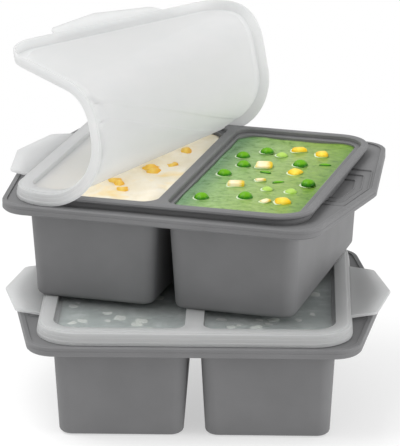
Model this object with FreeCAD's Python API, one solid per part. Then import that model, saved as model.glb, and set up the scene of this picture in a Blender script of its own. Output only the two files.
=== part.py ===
import FreeCAD, Part
import math
import os

from FreeCAD import Base, Matrix, Vector

# A stack of two freezer trays for baby food, each with its lid. A tray is moulded silicone: two
# tapered cups side by side under one flat flange, with a rolled bead around both mouths and a
# stepped grip at each end. A steel wire ring lies buried in the flange and keeps it flat. The lid is
# a soft silicone sheet with a skirt that hangs outside the bead, two sunken panels that plug the
# mouths, and a pull tab at each end. The lower lid is on. The upper one is peeled back from its
# right end and rolled over to the left.
# Millimetres. X runs along the tray, Y across it, Z up. Each size below can be changed by itself.

# Cups
BLOCK_LENGTH = 155.2  # over both cups, under the flange
BLOCK_DEPTH = 148.2
CUP_GAP = 6.6  # between the two cups, under the flange
CUP_HEIGHT = 51.6  # from the table to the underside of the flange
DRAFT = 2.9  # each wall comes in by this much on its way down to the base
CUP_WALL = 2.2
CUP_FLOOR = 2.6
CUP_CORNER = 11.0
BASE_ROUND = 5.5
BASE_STEPS = 3  # flat bands that stand for the round between wall and base

# Flange and its grips
FLANGE_LENGTH = 208.6  # tip to tip
FLANGE_SIDE = 179.2  # the straight front and back edges, to their sharp corners
FLANGE_DEPTH = 174.8
FLANGE_THICKNESS = 4.7
FLANGE_CORNER = 16.0
FLANGE_TIP_ROUND = 10.0
FLANGE_CHAMFER = 1.0
LIP_HEIGHT = 0.8
LIP_WIDTH = 2.6
LIP_CHAMFER = 0.4
GRIP_STEPS = 3
GRIP_BORDER = 5.2  # from the flange's tip to the first step's point
GRIP_PITCH = 4.3
GRIP_HALF_WIDTH = 34.0
GRIP_NARROWING = 8.3  # each step is this much shorter at both ends
GRIP_STEP_DEPTH = 0.6
GRIP_POINT_ROUND = 4.0
GRIP_END_ROUND = 1.6

# Bead around the mouths
RIM_LENGTH = 168.6
RIM_DEPTH = 160.8
RIM_CORNER = 20.0
RIM_RISE = 6.3  # bead's top above the flange
BEAD_WIDTH = 4.4
BEAD_THICKNESS = 3.0
BEAD_OVERHANG = 2.8
BEAD_CHAMFER = 0.9
DIVIDER_WIDTH = 5.8
DIVIDER_CORNER = 9.0
LEDGE_DROP = 2.8  # from the bead's top to the ledge under the lid's panels
MOUTH_CHAMFER = 0.6
SLOT_FLAT = 0.6  # what the rounded ends of the slot under the divider leave straight

# Flat wire ring in the flange
WIRE_WIDTH = 2.6
WIRE_THICKNESS = 1.3
WIRE_INSET = 4.6  # from the flange's edge to the wire
WIRE_HEIGHT = 1.1  # from the flange's underside to the wire

# Lid
LID_THICKNESS = 1.4
LID_TOP_GAP = 0.3  # lid over the bead
SKIRT_GAP = 1.3  # skirt outside the bead, room for it to lean where the lid is rolled
PLUG_GAP = 1.0  # plug inside the mouth
SKIRT_WALL = 1.4
SKIRT_CLEARANCE = 0.5  # skirt over the flange
SHOULDER_WIDTH = 2.4
SHOULDER_DROP = 0.7
PANEL_GAP = 0.4  # panel over the ledge
TAB_REACH = 22.3  # from the skirt to the tab's tip
TAB_SHOULDER = 13.9  # from the skirt to the tab's widest corners
TAB_HALF_WIDTH = 36.0
TAB_ROOT_HALF_WIDTH = 42.0
TAB_THICKNESS = 1.8
TAB_DROP = 3.0  # from the lid's top to the tab's top
TAB_CORNER = 5.0
TAB_TIP_ROUND = 3.5
TAB_ROOT_ROUND = 0.2  # buried in the skirt's wall

# How the stack stands
STACK_GAP = 0.2
UPPER_TURN = -14.8  # degrees about Z
UPPER_SHIFT_X = -0.4
UPPER_SHIFT_Y = 28.0

# How the upper lid is rolled back
LOW_FOLD_X = -38.3  # where the first bend starts on the tray's long axis
LOW_FOLD_SKEW = 17.0  # degrees between its fold and the tray's short axis
LOW_ROLL_RADIUS = 23.1
LOW_ROLL_TURN = 114.0  # degrees
HIGH_FOLD_X = 22.2  # where the second bend starts, on the lid laid flat
HIGH_FOLD_SKEW = 20.1
HIGH_ROLL_RADIUS = 24.7
HIGH_ROLL_TURN = 61.6

# Heights that follow
flange_top = CUP_HEIGHT + FLANGE_THICKNESS
lip_top = flange_top + LIP_HEIGHT
rim_top = flange_top + RIM_RISE
ledge_z = rim_top - LEDGE_DROP
lid_under = rim_top + LID_TOP_GAP
lid_top = lid_under + LID_THICKNESS
shoulder_z = lid_top - SHOULDER_DROP
skirt_bottom = flange_top + SKIRT_CLEARANCE
panel_under = ledge_z + PANEL_GAP
tab_top = lid_top - TAB_DROP
skirt_out = SKIRT_GAP + SKIRT_WALL
upper_z = lid_top + STACK_GAP
MARGIN = 1.0  # how far a shape runs past what it cuts or joins
LEVEL = 1e-4  # edges are told apart by height to within this


def rounded(points, radii, z=0.0):
    """A closed wire through the points in order, each corner rounded by its own radius."""
    corners = []
    count = len(points)
    for i in range(count):
        here = Vector(*points[i], z)
        back = (Vector(*points[i - 1], z) - here).normalize()
        ahead = (Vector(*points[(i + 1) % count], z) - here).normalize()
        half = back.getAngle(ahead) / 2
        reach = radii[i] / math.tan(half)
        middle = here + (back + ahead).normalize() * (radii[i] / math.sin(half) - radii[i])
        corners.append((here + back * reach, middle, here + ahead * reach))
    edges = []
    for i in range(count):
        start, middle, end = corners[i]
        edges.append(Part.Arc(start, middle, end).toShape())
        edges.append(Part.LineSegment(end, corners[(i + 1) % count][0]).toShape())
    return Part.Wire(edges)


def rounded_box(x0, x1, half_y, radii, z=0.0):
    """Rounded rectangle from x0 to x1. The radii at its x1 end come first."""
    points = [(x1, -half_y), (x1, half_y), (x0, half_y), (x0, -half_y)]
    return rounded(points, radii, z)


def prism(wire, low, high):
    """The flat region inside a wire, solid from one height to the other."""
    return flat_solid(Part.Face(wire), low, high)


def flat_solid(face, low, high):
    raised = face.translated(Vector(0, 0, low))
    return raised.extrude(Vector(0, 0, high - low))


def level_edges(shape, z):
    """The edges that lie wholly at one height."""
    edges = []
    for edge in shape.Edges:
        box = edge.BoundBox
        if abs(box.ZMin - z) < LEVEL and abs(box.ZMax - z) < LEVEL:
            edges.append(edge)
    return edges


def both_ends(shape):
    """The shape and its mirror image in the plane between the cups."""
    return [shape, shape.mirror(Vector(0, 0, 0), Vector(1, 0, 0))]


def flange_outline(inset=0.0):
    half_length = FLANGE_LENGTH / 2
    half_side = FLANGE_SIDE / 2
    half_depth = FLANGE_DEPTH / 2
    points = [
        (half_length, 0),
        (half_side, half_depth),
        (-half_side, half_depth),
        (-half_length, 0),
        (-half_side, -half_depth),
        (half_side, -half_depth),
    ]
    end_radii = [FLANGE_TIP_ROUND, FLANGE_CORNER, FLANGE_CORNER]
    wire = rounded(points, end_radii * 2)
    return wire.makeOffset2D(-inset) if inset else wire


def rim_outline(inset=0.0):
    half_length = RIM_LENGTH / 2 - inset
    return rounded_box(-half_length, half_length, RIM_DEPTH / 2 - inset, [RIM_CORNER - inset] * 4)


def mouth_outline(inset=0.0):
    """The opening inside the bead, over the right-hand cup."""
    outer = RIM_CORNER - BEAD_WIDTH - inset
    inner = DIVIDER_CORNER - inset
    end = RIM_LENGTH / 2 - BEAD_WIDTH - inset
    half_depth = RIM_DEPTH / 2 - BEAD_WIDTH - inset
    return rounded_box(DIVIDER_WIDTH / 2 + inset, end, half_depth, [outer, outer, inner, inner])


def cup_outline(z, inset):
    """Outline of the right-hand cup at one height, following the draft of its walls."""
    taper = DRAFT * (CUP_HEIGHT - z) / CUP_HEIGHT + inset
    radii = [CUP_CORNER - inset] * 4
    return rounded_box(CUP_GAP / 2 + taper, BLOCK_LENGTH / 2 - taper, BLOCK_DEPTH / 2 - taper, radii, z)


def cup_solid(low, high, inset, base_round):
    outlines = []
    for step in range(BASE_STEPS + 1):
        turn = math.pi / 2 * step / BASE_STEPS
        rise = base_round * (1 - math.cos(turn))
        outlines.append(cup_outline(low + rise, inset + base_round * (1 - math.sin(turn))))
    return Part.makeLoft(outlines + [cup_outline(high, inset)], True, True)


def divider_slot():
    """The gap between the cups, carried up into the divider so that its walls stay even."""
    half_depth = BLOCK_DEPTH / 2 - CUP_CORNER
    outlines = []
    for z in (CUP_HEIGHT - MARGIN, ledge_z - CUP_WALL):
        half_gap = CUP_GAP / 2 + DRAFT * (CUP_HEIGHT - z) / CUP_HEIGHT
        outlines.append(rounded_box(-half_gap, half_gap, half_depth, [half_gap - SLOT_FLAT / 2] * 4, z))
    return Part.makeLoft(outlines, True, True)


def grip_step(index):
    """One of the nested shallow steps of the right-hand grip, its point towards the tip."""
    slope = (FLANGE_LENGTH - FLANGE_SIDE) / FLANGE_DEPTH
    tip_x = FLANGE_LENGTH / 2 - GRIP_BORDER - index * GRIP_PITCH
    half_width = GRIP_HALF_WIDTH - index * GRIP_NARROWING
    end_x = tip_x - slope * half_width
    inner_x = RIM_LENGTH / 2 - BEAD_OVERHANG - MARGIN
    points = [
        (tip_x, 0),
        (end_x, half_width),
        (inner_x, half_width),
        (inner_x, -half_width),
        (end_x, -half_width),
    ]
    radii = [GRIP_POINT_ROUND] + [GRIP_END_ROUND] * 4
    return prism(rounded(points, radii), flange_top - (index + 1) * GRIP_STEP_DEPTH, lip_top + MARGIN)


def wire_ring():
    inside = Part.Face(flange_outline(WIRE_INSET + WIRE_WIDTH))
    ring = Part.Face(flange_outline(WIRE_INSET)).cut(inside)
    under = CUP_HEIGHT + WIRE_HEIGHT
    return flat_solid(ring, under, under + WIRE_THICKNESS)


def flange():
    plate = prism(flange_outline(), CUP_HEIGHT, lip_top)
    plate = plate.makeChamfer(FLANGE_CHAMFER, level_edges(plate, CUP_HEIGHT))
    plate = plate.makeChamfer(LIP_CHAMFER, level_edges(plate, lip_top))
    cutters = [prism(flange_outline(LIP_WIDTH), flange_top, lip_top + MARGIN)]
    for index in range(GRIP_STEPS):
        cutters += both_ends(grip_step(index))
    for cutter in cutters:
        plate = plate.cut(cutter)
    return plate


def tray(ring):
    """One moulded tray, with a bed left open in its flange for the wire ring."""
    neck = prism(rim_outline(BEAD_OVERHANG), CUP_HEIGHT + MARGIN, rim_top - MARGIN)
    bead_under = rim_top - BEAD_THICKNESS
    bead = prism(rim_outline(), bead_under, rim_top)
    bead = bead.makeChamfer(BEAD_CHAMFER, level_edges(bead, rim_top) + level_edges(bead, bead_under))
    cup = cup_solid(0.0, flange_top - MARGIN, 0.0, BASE_ROUND)
    body = flange().multiFuse([neck, bead] + both_ends(cup))

    pocket = cup_solid(CUP_FLOOR, ledge_z + MARGIN, CUP_WALL, BASE_ROUND - CUP_WALL / 2)
    mouth = prism(mouth_outline(), ledge_z, rim_top + MARGIN)
    for cutter in both_ends(pocket) + both_ends(mouth) + [divider_slot()]:
        body = body.cut(cutter)
    within = Part.Face(rim_outline(BEAD_WIDTH - LEVEL)).translated(Vector(0, 0, rim_top))
    mouth_edges = [e for e in level_edges(body, rim_top) if e.distToShape(within)[0] < LEVEL]
    body = body.makeChamfer(MOUTH_CHAMFER, mouth_edges)
    return body.cut(ring).removeSplitter()


def tab_outline():
    """The right-hand pull tab, from the middle of the skirt's wall out to its tip."""
    skirt_x = RIM_LENGTH / 2 + skirt_out
    root_x = skirt_x - SKIRT_WALL / 2
    points = [
        (skirt_x + TAB_REACH, 0),
        (skirt_x + TAB_SHOULDER, TAB_HALF_WIDTH),
        (root_x, TAB_ROOT_HALF_WIDTH),
        (root_x, -TAB_ROOT_HALF_WIDTH),
        (skirt_x + TAB_SHOULDER, -TAB_HALF_WIDTH),
    ]
    return rounded(points, [TAB_TIP_ROUND, TAB_CORNER, TAB_ROOT_ROUND, TAB_ROOT_ROUND, TAB_CORNER])


def lid_layers():
    """The lid as flat regions, each with the two heights between which it is solid."""
    half_sheet = (lid_under + shoulder_z) / 2
    skirt = Part.Face(rim_outline(-skirt_out))
    skirt_inside = Part.Face(rim_outline(-SKIRT_GAP))
    skirt_middle = Part.Face(rim_outline(-SKIRT_GAP - SKIRT_WALL / 2))
    ridge = Part.Face(rim_outline(SHOULDER_WIDTH - skirt_out))
    plugs = [Part.Face(w) for w in both_ends(mouth_outline(PLUG_GAP))]
    plug_middles = [Part.Face(w) for w in both_ends(mouth_outline(PLUG_GAP + LID_THICKNESS / 2))]
    plug_insides = [Part.Face(w) for w in both_ends(mouth_outline(PLUG_GAP + LID_THICKNESS))]
    layers = [
        (skirt.cut(skirt_inside), skirt_bottom, shoulder_z),
        (skirt_middle.cut(plug_middles), lid_under, shoulder_z),
        (ridge.cut(plug_insides), half_sheet, lid_top),
    ]
    for plug, middle, inside in zip(plugs, plug_middles, plug_insides):
        layers.append((plug.cut(inside), panel_under, (half_sheet + shoulder_z) / 2))
        layers.append((middle, panel_under, panel_under + LID_THICKNESS))
    for wire in both_ends(tab_outline()):
        layers.append((Part.Face(wire), tab_top - TAB_THICKNESS, tab_top))
    return layers


def flat_lid():
    solids = [flat_solid(*layer) for layer in lid_layers()]
    return solids[0].multiFuse(solids[1:]).removeSplitter()


def roll_surface(radius, z):
    """The cylinder that one level of the lid lies on once bent. Its u is the turn, its v is -y."""
    surface = Part.Cylinder()
    surface.Radius = radius - z
    surface.transform(Matrix(0, 1, 0, 0, 0, 0, -1, 0, -1, 0, 0, radius, 0, 0, 0, 1))
    return surface


def rolled_edge(edge, radius, surface):
    """An edge laid on the cylinder. A round corner goes through its Bezier poles."""
    first, last = edge.ParameterRange
    points = [edge.valueAt(first), edge.valueAt(last)]
    if edge.Curve.TypeId == "Part::GeomCircle":
        reach = 4 / 3 * math.tan((last - first) / 4)
        points.insert(1, points[0] + edge.derivative1At(first) * reach)
        points.insert(2, points[-1] - edge.derivative1At(last) * reach)
    poles = [Base.Vector2d(p.x / radius, -p.y) for p in points]
    if len(poles) == 2:
        return Part.Geom2d.Line2dSegment(*poles).toShape(surface)
    curve = Part.Geom2d.BezierCurve2d()
    curve.setPoles(poles)
    return curve.toShape(surface)


def rolled_face(surface, edges):
    face = Part.Face(surface, Part.Wire(Part.__sortEdges__(edges)))
    face.validate()
    return face


def rolled_solid(face, low, high, radius):
    """A flat region between two heights, bent upwards from x = 0 on."""
    surfaces = [roll_surface(radius, low), roll_surface(radius, high)]
    faces = []
    caps = []
    for wire in face.Wires:
        rims = [[rolled_edge(edge, radius, surface) for edge in wire.Edges] for surface in surfaces]
        faces += [Part.makeRuledSurface(*pair) for pair in zip(*rims)]
        caps.append([rolled_face(surface, edges) for surface, edges in zip(surfaces, rims)])
    caps.sort(key=lambda pair: -pair[0].Area)
    for outer, *holes in zip(*caps):
        faces += outer.cut(holes).Faces if holes else [outer]
    shell = Part.makeShell(faces)
    shell.sewShape()
    solid = Part.makeSolid(shell)
    if solid.Volume < 0:
        solid.reverse()
    return solid


def strip(start, end):
    """A flat face across the whole lid, between two distances from the fold."""
    return Part.makePlane(end - start, 2 * FLANGE_LENGTH, Vector(start, -FLANGE_LENGTH, 0))


def within(layers, start, end):
    """What lies between two distances from the fold, layer by layer."""
    found = []
    for face, low, high in layers:
        found += [(region, low, high) for region in face.common(strip(start, end)).Faces]
    return found


def fused(solids):
    return solids[0].multiFuse(solids[1:])


def folded(layers, folds):
    """The flat layers made solid, with what lies beyond each fold bent up over it."""
    if not folds:
        return fused([flat_solid(*layer) for layer in layers])
    fold_x, skew, radius, turn = folds[0]
    laid = []
    for face, low, high in layers:
        face = face.translated(Vector(-fold_x, 0, 0))
        face.rotate(Vector(0, 0, 0), Vector(0, 0, 1), skew)
        laid.append((face, low, high))
    length = radius * math.radians(turn)
    before = fused([flat_solid(*layer) for layer in within(laid, -FLANGE_LENGTH, 0)])
    bend = fused([rolled_solid(*layer, radius) for layer in within(laid, 0, length)])
    beyond = []
    for face, low, high in within(laid, length, FLANGE_LENGTH):
        face = face.rotated(Vector(0, 0, 0), Vector(0, 0, 1), -skew)
        beyond.append((face.translated(Vector(fold_x, 0, 0)), low, high))
    carried = folded(beyond, folds[1:]).translated(Vector(-fold_x, 0, 0))
    carried.rotate(Vector(0, 0, 0), Vector(0, 0, 1), skew)
    carried.translate(Vector(-length, 0, 0))
    carried.rotate(Vector(0, 0, 0), Vector(0, -1, 0), turn)
    across = radius * math.sin(math.radians(turn))
    up = radius * (1 - math.cos(math.radians(turn)))
    whole = fused([before, bend, carried.translated(Vector(across, 0, up))])
    whole.rotate(Vector(0, 0, 0), Vector(0, 0, 1), -skew)
    return whole.translated(Vector(fold_x, 0, 0))


def rolled_lid():
    """The same lid, bent up and over in two bends. The heights of its layers are taken from its seat."""
    layers = [(face, low - lid_under, high - lid_under) for face, low, high in lid_layers()]
    low_fold = (LOW_FOLD_X, LOW_FOLD_SKEW, LOW_ROLL_RADIUS, LOW_ROLL_TURN)
    high_fold = (HIGH_FOLD_X, HIGH_FOLD_SKEW, HIGH_ROLL_RADIUS, HIGH_ROLL_TURN)
    return folded(layers, [low_fold, high_fold]).translated(Vector(0, 0, lid_under))


def placed_above(shape):
    """A copy that stands on the lower lid, turned as the upper set is."""
    copy = shape.rotated(Vector(0, 0, 0), Vector(0, 0, 1), UPPER_TURN)
    return copy.translated(Vector(UPPER_SHIFT_X, UPPER_SHIFT_Y, upper_z))


steel_ring = wire_ring()
moulding = tray(steel_ring)
nodes = {
    "lower_tray": moulding,
    "lower_rim_wire": steel_ring,
    "lower_lid": flat_lid(),
    "upper_tray": placed_above(moulding),
    "upper_rim_wire": placed_above(steel_ring),
    "upper_lid": placed_above(rolled_lid()),
}

# The origin is under the middle of the whole stack, on the table.
bounds = Part.Compound(list(nodes.values())).optimalBoundingBox(False)
origin = Vector((bounds.XMin + bounds.XMax) / 2, (bounds.YMin + bounds.YMax) / 2, bounds.ZMin)
os.makedirs("parts", exist_ok=True)
for name, shape in nodes.items():
    placed = shape.translated(-origin)
    print(name, placed.isValid(), len(placed.Solids), "solid", round(placed.Volume), "mm3")
    placed.exportStep("parts/%s.step" % name)
print("moved by", -origin)
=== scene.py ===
"""A stack of two baby food freezer trays, each with its own soft lid, the upper lid peeled back.

Shapes are worked out in a tray's own millimetres, and turn into the frame's metres when they become objects.
Materials, the floor, the lights and the camera are in metres.
"""

import math
import random

import bmesh
import bpy
from mathutils import Matrix, Vector, noise
from mathutils.geometry import delaunay_2d_cdt


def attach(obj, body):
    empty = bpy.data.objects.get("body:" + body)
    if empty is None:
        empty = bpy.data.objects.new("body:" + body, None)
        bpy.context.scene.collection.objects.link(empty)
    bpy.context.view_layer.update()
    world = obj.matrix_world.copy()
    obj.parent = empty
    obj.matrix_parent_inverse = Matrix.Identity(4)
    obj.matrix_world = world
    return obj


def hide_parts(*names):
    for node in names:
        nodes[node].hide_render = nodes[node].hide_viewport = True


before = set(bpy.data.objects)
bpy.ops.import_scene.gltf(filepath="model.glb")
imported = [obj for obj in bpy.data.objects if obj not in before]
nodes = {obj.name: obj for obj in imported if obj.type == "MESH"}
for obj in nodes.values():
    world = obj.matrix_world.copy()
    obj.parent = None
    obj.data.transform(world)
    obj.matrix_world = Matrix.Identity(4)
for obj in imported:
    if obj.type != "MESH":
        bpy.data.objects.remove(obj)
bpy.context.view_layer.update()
random.seed(7)

# The tray
CUP_HEIGHT, CUP_FLOOR, CUP_WALL, DRAFT = 51.6, 2.6, 2.2, 2.9
BLOCK_HALF_X, BLOCK_HALF_Y, GAP_HALF, CUP_CORNER = 77.6, 74.1, 3.3, 11.0
FLANGE_HALF_LENGTH, FLANGE_HALF_SIDE, FLANGE_HALF_DEPTH, FLANGE_THICKNESS = 104.3, 89.6, 87.4, 4.7
RIM_HALF_X, RIM_HALF_Y, RIM_CORNER = 84.3, 80.4, 20.0
BEAD_WIDTH, BEAD_OVERHANG, DIVIDER_HALF, DIVIDER_CORNER = 4.4, 2.8, 2.9, 9.0
# The photograph's base edges and upright corners are tighter than the CAD's
CAD_BASE_ROUND, BASE_ROUND, TIGHT_CORNER = 5.5, 2.4, 7.5
# The moulding line in the flange's upright edge: its height, its depth, and its half width inside and out
GROOVE, GROOVE_DEPTH, GROOVE_FLOOR, GROOVE_EDGE = 54.9, 0.22, 0.2, 0.5

# The nested steps of a grip, and the thin ribs along them
GRIP_STEPS, GRIP_BORDER, GRIP_PITCH, GRIP_STEP_DEPTH = 3, 5.2, 4.3, 0.6
GRIP_HALF_WIDTH, GRIP_NARROWING, GRIP_CORNER, GRIP_TIP = 34.0, 8.3, 1.6, 4.0
RIB_SIDES, RIB_HALF_WIDTH, RIB_HEIGHT, RIB_SUNK = 12, 0.5, 0.32, 1.0

# The lid
LID_UNDER, LID_SHOULDER, LID_TOP = 62.9, 63.6, 64.3
SKIRT_BOTTOM, SKIRT_GAP, SKIRT_OUT = 56.8, 1.3, 2.7
TERRACES, TERRACE_STEP = (59.1, 61.3), 0.4
RIDGE_INSET, PLUG_GAP, PLUG_INSIDE = -0.3, 1.0, 2.4
PANEL_UNDER, PANEL_TOP = 60.2, 61.6
TAB_TOP, TAB_THICKNESS, TAB_EDGE = 61.3, 1.8, 0.5
TAB_SUNK, TAB_ROOT_HALF, TAB_ROOT_CORNER = 0.7, 42.0, 0.3
TAB_SHOULDER_OUT, TAB_SHOULDER_HALF, TAB_SHOULDER_CORNER = 13.9, 36.0, 5.0
TAB_TIP_OUT, TAB_TIP_CORNER = 22.3, 3.5
FOLD_STEP = 1.2

# The food
FOOD_TOP, FOOD_GAP, FOOD_SHELLS = 58.0, 0.15, 46
BESIDE_WALL = 0.93  # how far out from a cup's middle the food starts to rise or drop, as a share
# The film round a pea's or kernel's foot, a pale ring of painted highlight, shifted left and back towards
# the lit side
FILM_WIDTH, FILM_HALF_HEIGHT, FILM_RISE, FILM_SHIFT = 0.5, 0.5, 0.1, (-0.35, 0.25)
KERNEL_TAPER = 0.16

CORNER_STEPS = 12
SLACK = 0.01

# Where the trays stand
CENTRE_Y = 23.370  # from the lower tray's middle to the frame's origin
UPPER_PLACE, UPPER_TURN = (-0.4, 28.0, 64.5), math.radians(-14.8)
LOWER = Matrix.Scale(0.001, 4) @ Matrix.Translation((0, -CENTRE_Y, 0))
UPPER = LOWER @ Matrix.Translation(UPPER_PLACE) @ Matrix.Rotation(UPPER_TURN, 4, "Z")
LEVELS = {"lower": LOWER, "upper": UPPER}


# ---------------------------------------------------------------- materials

def srgb(r, g, b):
    """Linear colour from the one an eye would pick on a 0 to 255 scale."""
    values = []
    for c in (r, g, b):
        c /= 255
        values.append(c / 12.92 if c <= 0.04045 else ((c + 0.055) / 1.055) ** 2.4)
    return (*values, 1.0)


class Shading:
    """The nodes of a material or of the world. An input takes a value, or another node's output to link."""

    def __init__(self, owner, output="OutputMaterial"):
        owner.use_nodes = True
        self.tree = owner.node_tree
        self.tree.nodes.clear()
        self.surface = self.add(output).inputs["Surface"]

    def feed(self, socket, value):
        if isinstance(value, bpy.types.NodeSocket):
            self.tree.links.new(value, socket)
        else:
            socket.default_value = value

    def add(self, kind, **inputs):
        node = self.tree.nodes.new("ShaderNode" + kind)
        for name, value in inputs.items():
            self.feed(node.inputs[name.replace("_", " ")], value)
        return node

    def coordinates(self, kind):
        return self.add("TexCoord").outputs[kind]

    def noise(self, scale, detail, roughness=0.5, distortion=0.0, where=None):
        """Noise in the object's own space, unless another is given. Scale is in features per metre."""
        where = where or self.coordinates("Object")
        return self.add("TexNoise", Vector=where, Scale=scale, Detail=detail, Roughness=roughness,
                        Distortion=distortion).outputs["Fac"]

    def ramp(self, source, stops):
        node = self.add("ValToRGB", Fac=source)
        elements = node.color_ramp.elements
        while len(elements) < len(stops):
            elements.new(0.5)
        for element, (place, colour) in zip(elements, stops):
            element.position = place
            element.color = srgb(*colour)
        return node.outputs["Color"]

    def map_range(self, source, start=0.0, end=1.0, low=0.0, high=1.0):
        return self.add("MapRange", Value=source, From_Min=start, From_Max=end, To_Min=low,
                        To_Max=high).outputs["Result"]

    def mix_colours(self, share, a, b, blend="MIX"):
        node = self.add("Mix")
        node.data_type = "RGBA"
        node.blend_type = blend
        for name, value in (("Factor", share), ("A", a), ("B", b)):
            self.feed(node.inputs[name], value)
        return node.outputs["Result"]

    def mix_shaders(self, share, a, b):
        node = self.add("MixShader", Fac=share)
        self.feed(node.inputs[1], a)
        self.feed(node.inputs[2], b)
        return node.outputs["Shader"]

    def shade_creases(self, colour, distance, samples, stops):
        """Multiplies a colour by a ramp over how open the surface is within a distance: painted shade in
        creases and hollows.
        """
        hollow = self.add("AmbientOcclusion", Distance=distance)
        hollow.samples = samples
        hollow.only_local = True
        return self.mix_colours(1.0, colour, self.ramp(hollow.outputs["AO"], stops), "MULTIPLY")

    def bump(self, height, strength, distance, **inputs):
        node = self.add("Bump", Height=height, Strength=strength, Distance=distance, **inputs)
        return node.outputs["Normal"]

    def principled(self, colour, roughness, **inputs):
        return self.add("BsdfPrincipled", Base_Color=colour, Roughness=roughness, **inputs).outputs["BSDF"]

    def finish(self, shader):
        self.feed(self.surface, shader)


def new_material(name):
    material = bpy.data.materials.new(name)
    return material, Shading(material)


def grey_silicone():
    """Matt grey silicone, with a painted highlight along its edges and painted shade in its creases."""
    material, shading = new_material("grey_silicone")
    tint = shading.ramp(shading.noise(35.0, 3.0), [(0.3, (113, 113, 114)), (0.7, (120, 120, 121))])
    rounding = shading.add("Bevel", Radius=0.0005)
    rounding.samples = 8
    rounded = rounding.outputs["Normal"]
    bend = shading.add("VectorMath")
    bend.operation = "DOT_PRODUCT"
    shading.feed(bend.inputs[0], rounded)
    shading.feed(bend.inputs[1], shading.add("NewGeometry").outputs["Normal"])
    # painted highlight: lighter where the rounded normal bends away from the flat one, along the edges
    edge = shading.map_range(bend.outputs["Value"], 0.985, 0.8, high=0.75)
    edge_highlit_tint = shading.mix_colours(edge, tint, srgb(158, 158, 159))
    # painted shade in the creases
    colour = shading.shade_creases(edge_highlit_tint, 0.0016, 8, [(0.35, (168, 168, 168)), (0.85, (255, 255, 255))])
    grain = shading.bump(shading.noise(2600.0, 2.0), 0.12, 0.0002, Normal=rounded)
    shading.finish(shading.principled(colour, 0.55, Specular_IOR_Level=0.3, Normal=grain))
    return material


def steel():
    material, shading = new_material("steel")
    tint = shading.ramp(shading.noise(900.0, 2.0), [(0.3, (170, 170, 172)), (0.7, (200, 200, 202))])
    shading.finish(shading.principled(tint, 0.3, Metallic=1.0))
    return material


def clear_silicone(name, cover, tone, edge_cover=0.35):
    """Frosted silicone. cover is how much one surface hides, and edge_cover how much more seen edge on. Its
    colour carries painted shade: darker seen edge on, and in its creases.
    """
    clear, haze, edge_loss, shade = (0.97, 0.98, 0.98, 1.0), 2, 42, 0.2
    material, shading = new_material(name)
    facing = shading.add("LayerWeight", Blend=0.35).outputs["Facing"]
    mottle = shading.noise(60.0, 3.0)
    tint = shading.ramp(mottle, [(0.35, (tone - 3, tone - haze, tone - haze)), (0.65, (tone, tone, tone))])
    # painted shade: the tone drops by edge_loss where the silicone is seen edge on
    edge_on_shade = srgb(tone - edge_loss, tone - edge_loss, tone - edge_loss)
    tint = shading.mix_colours(shading.map_range(facing, 0.5), tint, edge_on_shade)
    # painted shade in the creases
    tint = shading.shade_creases(tint, 0.0012, 6, [(0.35, (196, 196, 196)), (0.85, (255, 255, 255))])
    skin = shading.principled(tint, 0.42, Specular_IOR_Level=0.35)
    glow = shading.add("BsdfTranslucent", Color=srgb(tone - haze, tone - haze, tone - haze))
    through = shading.add("BsdfTransparent", Color=clear).outputs["BSDF"]
    body = shading.mix_shaders(0.5, skin, glow.outputs["BSDF"])
    hidden = shading.map_range(facing, low=cover, high=min(1.0, cover + edge_cover))
    seen = shading.mix_shaders(hidden, through, body)
    shadow_ray = shading.add("LightPath").outputs["Is Shadow Ray"]
    shading.finish(shading.mix_shaders(shading.map_range(shadow_ray, high=1.0 - shade), seen, through))
    return material


def frozen_food(name, stops, scale):
    material, shading = new_material(name)
    tint = shading.ramp(shading.noise(scale, 6.0, 0.6, 0.4), stops)
    lumps = shading.bump(shading.noise(300.0, 5.0, 0.6), 0.5, 0.0006)
    shading.finish(shading.principled(tint, 0.5, Specular_IOR_Level=0.3, Normal=lumps))
    return material


def pea_puree():
    """Green puree with fine streaks across the cup, bluish and darker down its left side, painted shade
    along that wall, and deeper down its right.
    """
    cup_left, cup_right = 0.003, 0.078
    material, shading = new_material("pea_puree")
    turn = shading.add("Mapping", Vector=shading.coordinates("Object"), Rotation=(0.0, 0.0, -UPPER_TURN))
    in_tray = turn.outputs["Vector"]
    streaks = shading.add("Mapping", Vector=in_tray, Scale=(0.9, 1.3, 1.0)).outputs["Vector"]
    mottle = shading.noise(230.0, 7.0, 0.66, 0.5, streaks)
    mottling = shading.ramp(mottle, [
        (0.3, (134, 164, 90)), (0.44, (214, 226, 196)), (0.58, (240, 246, 226)), (0.74, (255, 255, 250))])
    # painted shade: the ramp is darker and bluish along the left wall; deeper green towards the right
    across = shading.map_range(shading.add("SeparateXYZ", Vector=in_tray).outputs["X"], cup_left, cup_right)
    base = shading.ramp(across, [
        (0.04, (120, 156, 122)), (0.22, (158, 188, 128)), (0.6, (160, 184, 106)), (0.82, (140, 172, 78)),
        (0.97, (108, 150, 52))])
    colour = shading.mix_colours(1.0, base, mottling, "MULTIPLY")
    lumps = shading.bump(mottle, 0.35, 0.0006)
    shading.finish(shading.principled(colour, 0.3, Specular_IOR_Level=0.3, Normal=lumps))
    return material


def corn_mash():
    """Pale mash with soft stains of the corn in it, and painted shade in its folds."""
    material, shading = new_material("corn_mash")
    tint = shading.ramp(shading.noise(60.0, 5.0, 0.55, 0.3), [
        (0.3, (244, 232, 204)), (0.6, (252, 244, 226)), (0.8, (255, 250, 238))])
    blot = shading.map_range(shading.noise(62.0, 2.0, 0.5, 0.2), 0.53, 0.82)
    stained = shading.mix_colours(blot, tint, srgb(252, 220, 140))
    # painted shade in the folds
    colour = shading.shade_creases(stained, 0.004, 8, [(0.55, (206, 182, 140)), (0.95, (255, 255, 255))])
    lumps = shading.bump(shading.noise(260.0, 5.0, 0.6), 0.5, 0.0007)
    shading.finish(shading.principled(colour, 0.45, Specular_IOR_Level=0.3, Normal=lumps))
    return material


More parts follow.
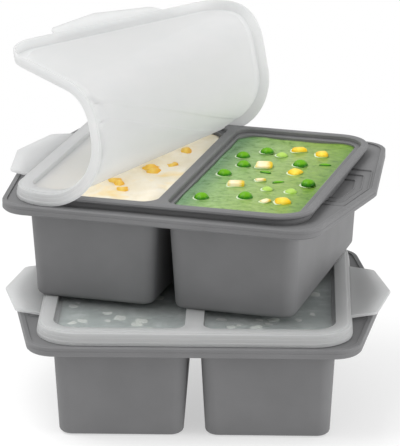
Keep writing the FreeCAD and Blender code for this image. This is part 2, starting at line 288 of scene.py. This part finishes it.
def skin(name, stops, axis="X", roughness=0.3):
    """A pea or kernel, its colour changing from one end of its own box to the other. Up a pea's height this
    is painted light on top and painted shade low down.
    """
    material, shading = new_material(name)
    box = shading.coordinates("Generated")
    jolt = shading.add("VectorMath")
    jolt.operation = "MULTIPLY_ADD"
    speckle = shading.add("TexNoise", Vector=box, Scale=5.0, Detail=3.0).outputs["Color"]
    for socket, value in zip(jolt.inputs, (speckle, (0.24, 0.24, 0.24), box)):
        shading.feed(socket, value)
    along = shading.add("SeparateXYZ", Vector=jolt.outputs["Vector"]).outputs[axis]
    shading.finish(shading.principled(shading.ramp(along, stops), roughness, Specular_IOR_Level=0.18))
    return material


# ---------------------------------------------------------------- meshes

def place_mesh(name, mesh, materials, level, part, replaced=None):
    """Makes an object of a mesh in a tray's millimetres. It rides on that level's tray or lid."""
    mesh.transform(LEVELS[level])
    for polygon in mesh.polygons:
        polygon.use_smooth = True
    for material in materials:
        mesh.materials.append(material)
    obj = bpy.data.objects.new(name, mesh)
    bpy.context.scene.collection.objects.link(obj)
    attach(obj, f"{level}_{part}_body")
    if replaced:
        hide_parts(replaced)
    return obj


def inside(p, polygon):
    hit = False
    for a, b in zip(polygon, polygon[1:] + polygon[:1]):
        if (a.y > p.y) != (b.y > p.y) and p.x < a.x + (p.y - a.y) * (b.x - a.x) / (b.y - a.y):
            hit = not hit
    return hit


class Builder:
    """Collects points and faces."""

    def __init__(self):
        self.points = []
        self.faces = []

    def ring(self, points):
        start = len(self.points)
        self.points += points
        return list(range(start, len(self.points)))

    def level_ring(self, outline, z):
        return self.ring([(x, y, z) for x, y in outline])

    def bands(self, rings):
        for a, b in zip(rings, rings[1:]):
            for i in range(len(a)):
                j = (i + 1) % len(a)
                self.faces.append((a[i], a[j], b[j], b[i]))

    def region(self, outer, holes=(), upwards=True):
        """Fills the flat area between one ring and the rings in it."""
        ids, edges, outlines = [], [], []
        for ring in (outer, *holes):
            base = len(ids)
            ids += ring
            edges += [(base + i, base + (i + 1) % len(ring)) for i in range(len(ring))]
            outlines.append([Vector(self.points[i][:2]) for i in ring])
        flat = [p for outline in outlines for p in outline]
        _, _, triangles, origin, _, _ = delaunay_2d_cdt(flat, edges, [], 0, 1e-5)
        where = [o[0] for o in origin]
        for triangle in triangles:
            middle = sum((flat[where[i]] for i in triangle), Vector((0, 0))) / 3
            if inside(middle, outlines[0]) and not any(inside(middle, hole) for hole in outlines[1:]):
                face = tuple(ids[where[i]] for i in triangle)
                self.faces.append(face if upwards else face[::-1])

    def caps(self, rings):
        """Fills the lowest and highest of a stack of rings."""
        self.region(rings[-1])
        self.region(rings[0], upwards=False)

    def mesh(self, name):
        mesh = bpy.data.meshes.new(name)
        mesh.from_pydata([tuple(p) for p in self.points], [], self.faces)
        mesh.update()
        return mesh


def loop(x0, x1, half_y, radii, runs=(30, 30)):
    """Points round a rounded rectangle, anticlockwise from its lower right corner.

    radii are of the right and the left corners, and runs are the steps along an upright and a level side.
    """
    right, left = radii
    corners = [(x1 - right, right - half_y, right, -90), (x1 - right, half_y - right, right, 0),
               (x0 + left, half_y - left, left, 90), (x0 + left, left - half_y, left, 180)]
    arcs = []
    for x, y, r, start in corners:
        angles = [math.radians(start + 90 * k / CORNER_STEPS) for k in range(CORNER_STEPS + 1)]
        arcs.append([(x + r * math.cos(a), y + r * math.sin(a)) for a in angles])
    points = []
    for arc, after, run in zip(arcs, arcs[1:] + arcs[:1], runs * 2):
        (x, y), (to_x, to_y) = arc[-1], after[0]
        shares = [k / run for k in range(1, run)]
        points += arc + [(x + (to_x - x) * t, y + (to_y - y) * t) for t in shares]
    return points


def rim_loop(inset):
    r = RIM_CORNER - inset
    return loop(-RIM_HALF_X + inset, RIM_HALF_X - inset, RIM_HALF_Y - inset, (r, r))


def mouth_loop(inset, side):
    """Round one cup's mouth, at an inset from the bead's and the divider's walls."""
    r_out, r_in = RIM_CORNER - BEAD_WIDTH - inset, DIVIDER_CORNER - inset
    x_in, x_out = DIVIDER_HALF + inset, RIM_HALF_X - BEAD_WIDTH - inset
    half_y = RIM_HALF_Y - BEAD_WIDTH - inset
    if side > 0:
        return loop(x_in, x_out, half_y, (r_out, r_in))
    return loop(-x_out, -x_in, half_y, (r_in, r_out))


def cup_loop(z, side, inset):
    """Round the inside of one cup at a height, at an inset from its wall."""
    taper = DRAFT * (CUP_HEIGHT - z) / CUP_HEIGHT + CUP_WALL + inset
    r = CUP_CORNER - CUP_WALL - inset
    x_in, x_out = GAP_HALF + taper, BLOCK_HALF_X - taper
    x0, x1 = (x_in, x_out) if side > 0 else (-x_out, -x_in)
    return loop(x0, x1, BLOCK_HALF_Y - taper, (r, r), (40, 20))


def rounded_corner(back, here, ahead, radius, steps=8):
    """The centre of one rounded corner of an outline, and the spokes from it to points round the corner."""
    to_back, to_ahead = (back - here).normalized(), (ahead - here).normalized()
    half = to_back.angle(to_ahead) / 2
    centre = here + (to_back + to_ahead).normalized() * (radius / math.sin(half))
    start = here + to_back * (radius / math.tan(half)) - centre
    way = 1 if to_back.cross(to_ahead) < 0 else -1
    sweep = way * (math.pi - 2 * half)
    return centre, [Matrix.Rotation(sweep * k / steps, 2) @ start for k in range(steps + 1)]


# ---------------------------------------------------------------- the lids

def flat_lid():
    """The lid as it is moulded: skirt, terraces, shoulder, ridge, two sunken panels and two tabs."""
    build = Builder()
    # Each point is an inset and a height. A round has a point at each end and one or two between them.
    inner, outer = -SKIRT_GAP, -SKIRT_OUT
    profile = [
        (inner + 0.5, LID_UNDER), (inner + 0.15, LID_UNDER - 0.15), (inner, LID_UNDER - 0.5),
        (inner, SKIRT_BOTTOM + 0.5), (inner - 0.12, SKIRT_BOTTOM + 0.15), (inner - 0.45, SKIRT_BOTTOM),
        (outer + 0.45, SKIRT_BOTTOM), (outer + 0.12, SKIRT_BOTTOM + 0.15), (outer, SKIRT_BOTTOM + 0.5),
    ]
    for z in TERRACES:
        profile += [(outer, z - 0.2), (outer + 0.1, z - 0.05), (outer + 0.35, z)]
        outer += TERRACE_STEP
        profile.append((outer, z + 0.15))
    profile += [
        (outer, LID_SHOULDER - 0.6), (outer + 0.15, LID_SHOULDER - 0.2), (outer + 0.5, LID_SHOULDER),
        (RIDGE_INSET - 0.35, LID_SHOULDER), (RIDGE_INSET - 0.1, LID_SHOULDER + 0.08),
        (RIDGE_INSET, LID_SHOULDER + 0.25), (RIDGE_INSET + 0.1, LID_TOP - 0.25),
        (RIDGE_INSET + 0.35, LID_TOP - 0.08), (RIDGE_INSET + 0.8, LID_TOP),
    ]
    into_panel = [
        (PLUG_INSIDE - 0.6, LID_TOP), (PLUG_INSIDE - 0.25, LID_TOP - 0.1),
        (PLUG_INSIDE - 0.05, LID_TOP - 0.35), (PLUG_INSIDE, LID_TOP - 0.7),
        (PLUG_INSIDE, PANEL_TOP + 0.6), (PLUG_INSIDE + 0.18, PANEL_TOP + 0.18),
        (PLUG_INSIDE + 0.6, PANEL_TOP),
    ]
    round_plug = [
        (PLUG_GAP - 1.3, LID_UNDER), (PLUG_GAP - 0.7, LID_UNDER - 0.08),
        (PLUG_GAP - 0.2, LID_UNDER - 0.35), (PLUG_GAP + 0.15, LID_UNDER - 0.85),
        (PLUG_GAP + 0.5, PANEL_UNDER + 1.1), (PLUG_GAP + 0.95, PANEL_UNDER + 0.55),
        (PLUG_GAP + 1.6, PANEL_UNDER + 0.18), (PLUG_GAP + 2.6, PANEL_UNDER),
    ]
    rim = [build.level_ring(rim_loop(inset), z) for inset, z in profile]
    build.bands(rim)
    above, below = [], []
    for side in (-1, 1):
        panel = [build.level_ring(mouth_loop(inset, side), z) for inset, z in into_panel]
        build.bands(panel)
        build.region(panel[-1])
        above.append(panel[0])
        plug = [build.level_ring(mouth_loop(inset, side), z) for inset, z in round_plug]
        build.bands(plug[::-1])
        build.region(plug[-1], upwards=False)
        below.append(plug[0])
    build.region(rim[-1], above)
    build.region(rim[0], below, False)
    for side in (-1, 1):
        add_tab(build, side)
    return build


def add_tab(build, side):
    """A pull tab, its root inside the skirt's wall."""
    skirt = RIM_HALF_X + SKIRT_OUT
    root, shoulder, tip = skirt - TAB_SUNK, skirt + TAB_SHOULDER_OUT, skirt + TAB_TIP_OUT
    corners = [(root, -TAB_ROOT_HALF, TAB_ROOT_CORNER), (shoulder, -TAB_SHOULDER_HALF, TAB_SHOULDER_CORNER),
               (tip, 0.0, TAB_TIP_CORNER), (shoulder, TAB_SHOULDER_HALF, TAB_SHOULDER_CORNER),
               (root, TAB_ROOT_HALF, TAB_ROOT_CORNER)]
    spots = [Vector((x, y)) for x, y, _ in corners]

    def outline(inset):
        points = []
        for i, (_, _, r) in enumerate(corners):
            centre, spokes = rounded_corner(spots[i - 1], spots[i], spots[(i + 1) % len(spots)], r)
            points += [centre + spoke * (1 - inset / r if r > inset else 0.4) for spoke in spokes]
        return [(side * p.x, p.y) for p in (points if side > 0 else points[::-1])]

    low, high = TAB_TOP - TAB_THICKNESS, TAB_TOP
    levels = [(TAB_EDGE, low), (0.15, low + 0.15), (0.0, low + TAB_EDGE),
              (0.0, high - TAB_EDGE), (0.15, high - 0.15), (TAB_EDGE, high)]
    rings = [build.level_ring(outline(inset), z) for inset, z in levels]
    build.bands(rings)
    build.caps(rings)


class Fold:
    """One bend of the peeled lid, about a line across it at x. skew and turn are in degrees."""

    def __init__(self, x, skew, radius, turn):
        skew = math.radians(skew)
        self.origin = Vector((x, 0))
        self.across = Vector((math.cos(skew), -math.sin(skew)))
        self.along = Vector((math.sin(skew), math.cos(skew)))
        self.radius = radius
        self.turn = math.radians(turn)

    def bend(self, p):
        """Where a point of the flat lid goes: round the bend, then straight on."""
        flat = p.xy - self.origin
        s, t, h = flat.dot(self.across), flat.dot(self.along), p.z - LID_UNDER
        a = min(max(s / self.radius, 0.0), self.turn)
        rest = s - a * self.radius
        n = self.radius * math.sin(a) + rest * math.cos(a) - h * math.sin(a)
        z = self.radius * (1 - math.cos(a)) + rest * math.sin(a) + h * math.cos(a)
        place = self.origin + self.along * t + self.across * n
        return Vector((place.x, place.y, LID_UNDER + z))

    def slice(self, mesh):
        """Cuts a flat mesh all along the bend, so that it can follow it."""
        count = math.ceil(self.radius * self.turn / FOLD_STEP)
        for k in range(count + 1):
            place = self.origin + self.across * (self.radius * self.turn * k / count)
            cut(mesh, place.to_3d(), self.across.to_3d(), 1e-5)


def cut(mesh, place, normal, distance):
    geometry = mesh.verts[:] + mesh.edges[:] + mesh.faces[:]
    bmesh.ops.bisect_plane(mesh, geom=geometry, plane_co=place, plane_no=normal, dist=distance)


def mark_panels(mesh, divider):
    """Gives the thin panels over the cups, and the divider's strip if asked, the lid's second material."""
    margin, strip_margin = 0.3, 0.5
    outlines = [[Vector(p) for p in mouth_loop(PLUG_INSIDE - margin, side)] for side in (-1, 1)]
    half_width = DIVIDER_HALF + PLUG_INSIDE + strip_margin
    half_depth = RIM_HALF_Y - BEAD_WIDTH - PLUG_INSIDE
    for face in mesh.faces:
        middle = face.calc_center_median()
        between = divider and abs(middle.x) < half_width and abs(middle.y) < half_depth
        if between or any(inside(middle, outline) for outline in outlines):
            face.material_index = 1


def soften_divider(vert):
    """Most of the channel over the divider goes where the peeled lid is stretched flat."""
    share, fade_length = 0.7, 9.0
    half_width = DIVIDER_HALF + PLUG_GAP + 1.3
    p = vert.co
    if abs(p.x) < half_width and PANEL_UNDER < p.z <= LID_UNDER + SLACK:
        fade = min(max((RIM_HALF_Y - BEAD_WIDTH - abs(p.y)) / fade_length, 0.0), 1.0)
        p.z = PANEL_UNDER + (p.z - PANEL_UNDER) * (1 - share * fade)


def lid(name, level, materials, folds=()):
    """A lid, bent by each of its folds in turn."""
    build = flat_lid()
    mesh = bmesh.new()
    made = [mesh.verts.new(p) for p in build.points]
    for face in build.faces:
        mesh.faces.new([made[i] for i in face])
    bmesh.ops.recalc_face_normals(mesh, faces=mesh.faces[:])
    for fold in folds[::-1]:
        fold.slice(mesh)
    mark_panels(mesh, divider=bool(folds))
    if folds:
        for vert in mesh.verts:
            soften_divider(vert)
            for fold in folds:
                vert.co = fold.bend(vert.co)
    data = bpy.data.meshes.new(name)
    mesh.to_mesh(data)
    mesh.free()
    place_mesh(name, data, materials, level, "lid", f"{level}_lid")


# ---------------------------------------------------------------- the trays

def tightened(p):
    """Moves a point of a cup's outer wall out to a tighter corner and base edge. Other points stay."""
    near_wall = 0.3
    taper = DRAFT * (CUP_HEIGHT - p.z) / CUP_HEIGHT
    half = Vector(((BLOCK_HALF_X - GAP_HALF) / 2 - taper, BLOCK_HALF_Y - taper))
    middle_x = math.copysign((BLOCK_HALF_X + GAP_HALF) / 2, p.x)
    q = Vector((abs(p.x - middle_x), abs(p.y)))
    core = Vector((min(q.x, half.x - CUP_CORNER), min(q.y, half.y - CUP_CORNER)))
    out = q - core
    inset = CUP_CORNER - out.length
    if p.z > CUP_HEIGHT + SLACK or not -near_wall < inset < max(near_wall, CAD_BASE_ROUND - p.z + 0.5):
        return p
    squeeze = BASE_ROUND / CAD_BASE_ROUND if p.z < CAD_BASE_ROUND + SLACK else 1.0
    out.normalize()
    if min(core.x - half.x, core.y - half.y) > -CUP_CORNER - SLACK:
        core = half - Vector((TIGHT_CORNER, TIGHT_CORNER))
    else:
        core += out * (CUP_CORNER - TIGHT_CORNER)
    place = core + out * (TIGHT_CORNER - inset * squeeze)
    x = middle_x + math.copysign(place.x, p.x - middle_x)
    return Vector((x, math.copysign(place.y, p.y), p.z * squeeze))


def groove(mesh):
    """Cuts a fine moulding line into the upright edge of the flange."""
    for offset in (-GROOVE_EDGE, -GROOVE_FLOOR, GROOVE_FLOOR, GROOVE_EDGE):
        cut(mesh, (0, 0, GROOVE + offset), (0, 0, 1), 1e-4)
    mesh.normal_update()
    for vert in mesh.verts:
        p = vert.co
        edge = abs(p.y) > RIM_HALF_Y or abs(p.x) > RIM_HALF_X + 1
        if abs(p.z - GROOVE) < GROOVE_FLOOR + 0.1 and edge and vert.normal.xy.dot(p.xy) > 0:
            vert.co -= vert.normal * GROOVE_DEPTH


def moulded_tray(level, material):
    """The CAD tray with tighter cups and a grooved flange."""
    mesh = bmesh.new()
    mesh.from_mesh(nodes[f"{level}_tray"].data)
    mesh.transform(LEVELS[level].inverted())
    bmesh.ops.remove_doubles(mesh, verts=mesh.verts[:], dist=0.002)
    groove(mesh)
    mesh.verts.index_update()
    build = Builder()
    build.points = [tightened(v.co) for v in mesh.verts]
    build.faces = [tuple(v.index for v in face.verts) for face in mesh.faces]
    mesh.free()
    name = f"{level}_moulding"
    tray = place_mesh(name, build.mesh(name), [material], level, "tray", f"{level}_tray")
    tray.data.set_sharp_from_angle(angle=math.radians(32))


def grip_rib(build, side, step):
    """A thin rib along the upper edge of one of a grip's steps, its ends inside the neck under the bead."""
    slope = (FLANGE_HALF_LENGTH - FLANGE_HALF_SIDE) / FLANGE_HALF_DEPTH
    tip = FLANGE_HALF_LENGTH - GRIP_BORDER - step * GRIP_PITCH
    half_width = GRIP_HALF_WIDTH - step * GRIP_NARROWING
    root, shoulder = RIM_HALF_X - BEAD_OVERHANG - RIB_SUNK, tip - slope * half_width
    height = CUP_HEIGHT + FLANGE_THICKNESS - step * GRIP_STEP_DEPTH
    corners = [Vector((root, -half_width)), Vector((shoulder, -half_width)), Vector((tip, 0)),
               Vector((shoulder, half_width)), Vector((root, half_width))]
    path = [corners[0]]
    for i, radius in ((1, GRIP_CORNER), (2, GRIP_TIP), (3, GRIP_CORNER)):
        centre, spokes = rounded_corner(corners[i - 1], corners[i], corners[i + 1], radius)
        path += [centre + spoke for spoke in spokes]
    path.append(corners[-1])
    rings = []
    for i, p in enumerate(path):
        ahead = (path[min(i + 1, len(path) - 1)] - path[max(i - 1, 0)]).normalized()
        out = Vector((ahead.y, -ahead.x))
        section = []
        for k in range(RIB_SIDES):
            a = 2 * math.pi * k / RIB_SIDES
            spot = p + out * (RIB_HALF_WIDTH * (1 + math.cos(a)))
            section.append((side * spot.x, spot.y, height + RIB_HEIGHT * math.sin(a)))
        ring = build.ring(section)
        rings.append(ring[::-1] if side > 0 else ring)
    build.bands(rings)
    build.faces += [tuple(rings[0][::-1]), tuple(rings[-1])]


# ---------------------------------------------------------------- the food

def beside_wall(share):
    """0 over most of a cup, rising to 1 at its wall. share is 0 in the cup's middle and 1 at its wall."""
    return (max(0.0, share - BESIDE_WALL) / (1 - BESIDE_WALL)) ** 2


def ripple(x, y, length, layer):
    return noise.fractal(Vector((x / length, y / length, layer)), 1.0, 2.0, 4)


def smooth_height(x, y, share):
    """A nearly flat surface that climbs the wall a little."""
    return FOOD_TOP + 0.55 * ripple(x, y, 16, 1.7) + 0.6 * beside_wall(share)


def folded_height(x, y, share):
    """A stirred surface with soft folds, which drops a little at the wall."""
    swirl = noise.noise(Vector((x / 40, y / 40, 5.1))) * 2.2
    fold = abs(math.sin(x / 7.5 + y / 17 + swirl * 2.2)) ** 1.3
    return FOOD_TOP - 0.1 + 1.3 * fold + 0.6 * ripple(x, y, 14, 8.7) - 0.6 * beside_wall(share)


def filling(name, side, surface, material, level):
    """Food that fills a cup up to a surface height function."""
    build = Builder()
    middle_x = side * (GAP_HALF + BLOCK_HALF_X) / 2
    floor = CUP_FLOOR + 0.2
    walls = [(floor, 3.2), (floor + 1.2, 1.2), (floor + 4.0, FOOD_GAP), (FOOD_TOP * 0.5, FOOD_GAP),
             (FOOD_TOP - 2.0, FOOD_GAP)]
    rings = [build.level_ring(cup_loop(z, side, inset), z) for z, inset in walls]
    rim = cup_loop(FOOD_TOP, side, FOOD_GAP)
    for k in range(FOOD_SHELLS):
        share = 1 - k / FOOD_SHELLS
        shell = [(middle_x + (x - middle_x) * share, y * share) for x, y in rim]
        rings.append(build.ring([(x, y, surface(x, y, share)) for x, y in shell]))
    build.bands(rings)
    last, (centre,) = rings[-1], build.ring([(middle_x, 0, surface(middle_x, 0, 0))])
    build.faces += [(last[i], last[(i + 1) % len(last)], centre) for i in range(len(last))]
    build.faces.append(tuple(reversed(rings[0])))
    place_mesh(name, build.mesh(name), [material], level, "tray")


def bit(name, shape, place, size, turn, material, level="upper", highlit_film=None, tilt=0.25, lumpy=0.05):
    """One pea, kernel or crumb, with a pale film round its foot, a painted highlight on the puree's rim
    round it. shape squares it off: 1 is round.
    """
    x, y, z = place
    wide, deep, high = size
    if highlit_film:
        sunk = min(abs(z - FOOD_TOP) / high, 0.95)
        spread = (1 - sunk ** (2 / shape)) ** (shape / 2)
        brim = (wide * spread + FILM_WIDTH, deep * spread + FILM_WIDTH, FILM_HALF_HEIGHT)
        foot = (x + FILM_SHIFT[0], y + FILM_SHIFT[1], FOOD_TOP + FILM_RISE)
        bit(name + "_film", shape, foot, brim, turn, highlit_film, level, tilt=0.0)
    seed = Vector((random.random() * 50, 0, 0))
    lean = Matrix.Rotation(random.uniform(-tilt, tilt), 4, "X")
    stand = Matrix.Translation(place) @ Matrix.Rotation(turn, 4, "Z") @ lean

    def spot(latitude, longitude):
        c = math.cos(latitude)
        way = Vector((c * math.cos(longitude), c * math.sin(longitude), math.sin(latitude)))
        q = Vector([math.copysign(abs(v) ** shape, v) for v in way])
        q *= 1 + lumpy * noise.noise(way * 1.6 + seed)
        if 0.5 < shape < 1:
            q.x *= 1 - KERNEL_TAPER * q.y
        return stand @ Vector((q.x * wide, q.y * deep, q.z * high))

    build = Builder()
    rows, columns = 14, 22
    (bottom,) = build.ring([spot(-math.pi / 2, 0)])
    rings = []
    for i in range(1, rows):
        latitude = math.pi * (i / rows - 0.5)
        rings.append(build.ring([spot(latitude, 2 * math.pi * j / columns) for j in range(columns)]))
    (top,) = build.ring([spot(math.pi / 2, 0)])
    build.bands(rings)
    first, last = rings[0], rings[-1]
    for j in range(columns):
        ahead = (j + 1) % columns
        build.faces += [(bottom, first[ahead], first[j]), (last[j], last[ahead], top)]
    place_mesh(name, build.mesh(name), [material], level, "tray")


# ---------------------------------------------------------------- trays and lids in place

grey = grey_silicone()
wire = steel()
upper_skin = clear_silicone("lid_silicone_peeled", 0.88, 231)
upper_panel = clear_silicone("lid_panel_peeled", 0.92, 226)
lower_skin = clear_silicone("lid_silicone_closed", 0.74, 230)
lower_panel = clear_silicone("lid_panel_closed", 0.22, 230, 0.12)
finishes = {"lower_tray": grey, "upper_tray": grey, "lower_rim_wire": wire, "upper_rim_wire": wire,
            "lower_lid": lower_skin, "upper_lid": upper_skin}
for name, material in finishes.items():
    nodes[name].data.materials.clear()
    nodes[name].data.materials.append(material)

moulded_tray("lower", grey)
moulded_tray("upper", grey)
for level in LEVELS:
    for end, side in (("left", -1), ("right", 1)):
        ribs = Builder()
        for step in range(GRIP_STEPS):
            grip_rib(ribs, side, step)
        name = f"{level}_{end}_grip_ribs"
        place_mesh(name, ribs.mesh(name), [grey], level, "tray")

lid("closed_lid", "lower", (lower_skin, lower_panel))
far_fold = Fold(x=22.2, skew=20.1, radius=24.7, turn=61.6)
near_fold = Fold(x=-38.3, skew=17.0, radius=23.1, turn=114.0)
lid("peeled_lid", "upper", (upper_skin, upper_panel), (far_fold, near_fold))

# ---------------------------------------------------------------- food in place

green = pea_puree()
cream = corn_mash()
frozen = frozen_food("frozen_puree", [
    (0.3, (140, 150, 148)), (0.55, (176, 184, 181)), (0.8, (224, 230, 226))], 110.0)
crumb = frozen_food("frozen_bit", [(0.3, (228, 232, 222)), (0.7, (255, 255, 248))], 140.0)
# painted light and shade: the peas' colour runs up their height, lighter on top and darker low down
shaded_pea = skin("pea_skin", [(0.66, (22, 70, 0)), (0.86, (50, 126, 2)), (1.0, (104, 170, 20))], "Z", 0.22)
# painted highlight: the film is pale on its left and darker green on its right
highlit_film = skin("puree_film_highlight", [(0.25, (216, 230, 196)), (0.6, (166, 194, 124)), (1.0, (128, 160, 84))])
pale_pea = skin("pale_pea_skin", [(0.5, (100, 150, 26)), (0.8, (138, 188, 52)), (1.0, (178, 214, 100))], "Z")
corn = skin("corn_skin", [(0.2, (238, 190, 4)), (0.55, (252, 224, 84)), (1.0, (242, 196, 16))])
pale_corn = skin("corn_pale_skin", [
    (0.1, (244, 214, 96)), (0.35, (254, 240, 204)), (0.75, (252, 232, 176)), (1.0, (226, 192, 40))])
mash_corn = skin("mash_corn_skin", [(0.2, (246, 194, 58)), (0.55, (252, 216, 110)), (1.0, (242, 178, 40))])

filling("green_food", 1, smooth_height, green, "upper")
filling("cream_food", -1, folded_height, cream, "upper")
filling("frozen_food_left", -1, smooth_height, frozen, "lower")
filling("frozen_food_right", 1, smooth_height, frozen, "lower")

BIG_PEA = 4
peas = [(17, 34), (28, 46), (22, 17), (16, -2), (67, -9), (16, -48), (39, -40), (53, 27)]
for n, (x, y) in enumerate(peas):
    r = random.uniform(4.3, 4.8)
    z = FOOD_TOP - (0.4 if n == BIG_PEA else 1.3)
    bit(f"pea_{n}", 1.0, (x, y, z), (r, r, r), random.random() * 6, shaded_pea, highlit_film=highlit_film)
for n, (x, y) in enumerate([(38, 42), (47, -23), (61, -24)]):
    r = random.uniform(3.6, 4.0)
    spin = random.random() * 6
    bit(f"pale_pea_{n}", 1.0, (x, y, FOOD_TOP - 1.4), (r, r, r * 0.9), spin, pale_pea, highlit_film=highlit_film)
for n, (x, y, turn) in enumerate([(66.6, 31, 0.1), (49.4, -8.2, 0.5), (37.5, 8, -0.2)]):
    bit(f"skin_{n}", 0.9, (x, y, FOOD_TOP), (3.6, 1.7, 0.9), turn, shaded_pea)
for n, (x, y, turn) in enumerate([(45, 54, 0.4), (60, 49, 1.9), (54, 11, 1.2), (61, -43, 0.6)]):
    bit(f"corn_{n}", 0.62, (x, y, FOOD_TOP - 0.6), (4.5, 3.7, 2.9), turn, corn, highlit_film=highlit_film)
dice = [(34, 18, 0.1, 1.0), (28, -20, 0.2, 1.0), (39, -8, 0.5, 0.6), (52, -45, 1.0, 0.6)]
for n, (x, y, turn, big) in enumerate(dice):
    size = (4.8 * big, 3.7 * big, 2.6 * big)
    bit(f"pale_corn_{n}", 0.36, (x, y, FOOD_TOP - 0.1), size, turn, pale_corn, highlit_film=highlit_film)
mashed = [(-28, -1, 0.4, 5.0), (-17, 5, 1.1, 4.2), (-24, -8, 0.2, 4.4), (-17.7, 35, 1.7, 4.6),
          (-40, -32, 0.3, 4.8), (-36, -36, 1.2, 3.4), (-31, -46, 1.4, 4.0)]
for n, (x, y, turn, r) in enumerate(mashed):
    bit(f"mash_corn_{n}", 0.75, (x, y, FOOD_TOP - 1.0), (r, r * 0.76, 2.7), turn, mash_corn, lumpy=0.3)
for side in (-1, 1):
    for n in range(24):
        x, y = side * random.uniform(10, 70), random.uniform(-67, 30) if n % 2 else random.uniform(-67, -40)
        r = random.uniform(2.6, 4.2)
        place = (x, y, FOOD_TOP - 1.9)
        bit(f"frozen_bit_{side + 1}_{n}", 0.85, place, (r, r, r * 0.7), 0.0, crumb, "lower", lumpy=0.25)

# ---------------------------------------------------------------- floor and light

WHITE = (1.0, 1.0, 1.0, 1.0)


def floor_paper():
    """Pale paper that takes the object's shadow, plain white further back."""
    material, shading = new_material("floor")
    near = shading.add("AddShader")
    shading.feed(near.inputs[0], shading.add("BsdfDiffuse", Color=(0.56, 0.56, 0.56, 1.0)).outputs["BSDF"])
    shading.feed(near.inputs[1], shading.add("Emission", Color=WHITE, Strength=0.47).outputs["Emission"])
    far = shading.add("Emission", Color=WHITE, Strength=1.0).outputs["Emission"]
    back_to_front = shading.add("SeparateXYZ", Vector=shading.coordinates("Object")).outputs["Y"]
    fade = shading.map_range(back_to_front, -0.1, 0.35)
    shading.finish(shading.mix_shaders(fade, near.outputs["Shader"], far))
    return material


floor_mesh = bpy.data.meshes.new("floor")
floor_mesh.from_pydata([(-4, -3, 0), (4, -3, 0), (4, 6, 0), (-4, 6, 0)], [], [(0, 1, 2, 3)])
floor_mesh.materials.append(floor_paper())
floor = bpy.data.objects.new("floor", floor_mesh)
bpy.context.scene.collection.objects.link(floor)
floor.location.z = -0.0002

world = bpy.data.worlds.new("world")
bpy.context.scene.world = world
sky = Shading(world, "OutputWorld")
seen = sky.add("Background", Color=WHITE, Strength=1.0).outputs["Background"]
cast = sky.add("Background", Color=WHITE, Strength=0.72).outputs["Background"]
sky.finish(sky.mix_shaders(sky.add("LightPath").outputs["Is Camera Ray"], cast, seen))


def softbox(name, place, size, power):
    light = bpy.data.lights.new(name, "AREA")
    light.size = size
    light.energy = power
    obj = bpy.data.objects.new(name, light)
    obj.location = place
    aim = Vector((0, 0, 0.08)) - Vector(place)
    obj.rotation_euler = aim.to_track_quat("-Z", "Y").to_euler()
    bpy.context.scene.collection.objects.link(obj)


softbox("right_softbox", place=(1.7, -0.4, 0.35), size=1.2, power=15.0)
softbox("left_softbox", place=(-0.8, -0.1, 1.6), size=1.4, power=19.0)

# ---------------------------------------------------------------- camera

AZIMUTH, ELEVATION, DISTANCE = math.radians(1.6), math.radians(18.2), 1.86636
FOCAL_PIXELS, IMAGE_HEIGHT, SENSOR = 3310.0, 446, 36.0
level_reach = math.cos(ELEVATION)
back = Vector((math.sin(AZIMUTH) * level_reach, -math.cos(AZIMUTH) * level_reach, math.sin(ELEVATION)))
camera_data = bpy.data.cameras.new("camera")
camera_data.sensor_fit = "VERTICAL"
camera_data.sensor_height = SENSOR
camera_data.lens = FOCAL_PIXELS / IMAGE_HEIGHT * SENSOR
camera_data.clip_end = 20.0
camera = bpy.data.objects.new("camera", camera_data)
camera.location = Vector((0.00129, -CENTRE_Y / 1000, 0.10057)) + back * DISTANCE
camera.rotation_euler = back.to_track_quat("Z", "Y").to_euler()
bpy.context.scene.collection.objects.link(camera)
bpy.context.scene.camera = camera
bpy.context.scene.view_settings.view_transform = "Standard"
